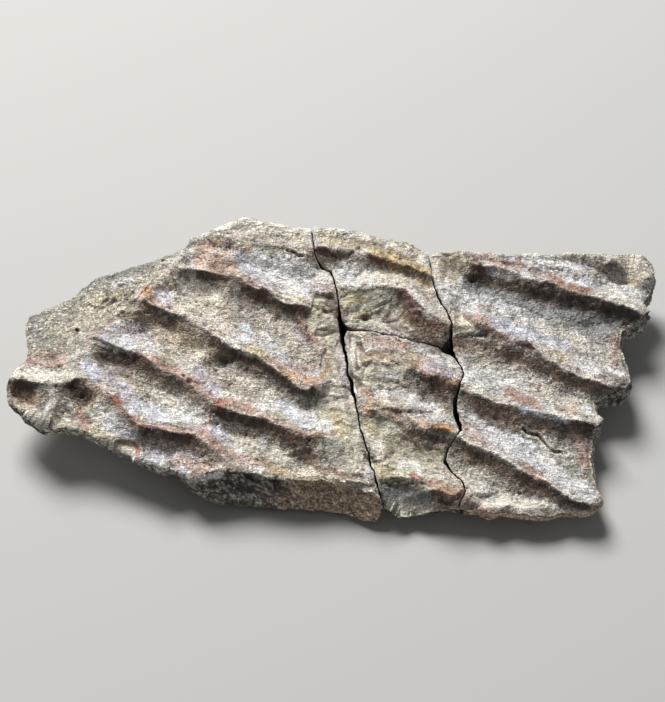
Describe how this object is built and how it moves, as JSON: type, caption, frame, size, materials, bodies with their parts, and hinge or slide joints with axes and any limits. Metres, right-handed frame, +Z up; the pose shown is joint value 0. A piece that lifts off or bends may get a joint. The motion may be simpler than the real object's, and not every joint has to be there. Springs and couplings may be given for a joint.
{
  "type": "fossil amphibian scute",
  "caption": "Thick plate of fossil armour bone with slanting ridges and grooves on its outer face, broken through by cracks and lying fitted together.",
  "frame": {"origin": "middle of the rectangle that the plate covers, on the surface it lies on", "axes": "+X along the plate towards the squared right end, +Y across it towards the thicker back edge, +Z up out of the ornamented face"},
  "size_m": [0.0974, 0.0488, 0.0141],
  "materials": {
    "left_fragment_bone": "satin mineralised bone",
    "upper_middle_fragment_bone": "satin mineralised bone",
    "lower_middle_fragment_bone": "satin mineralised bone",
    "right_fragment_bone": "satin mineralised bone"
  },
  "bodies": {
    "root": {"left_fragment": "left_fragment_bone", "upper_middle_fragment": "upper_middle_fragment_bone", "lower_middle_fragment": "lower_middle_fragment_bone", "right_fragment": "right_fragment_bone"}
  },
  "joints": []
}
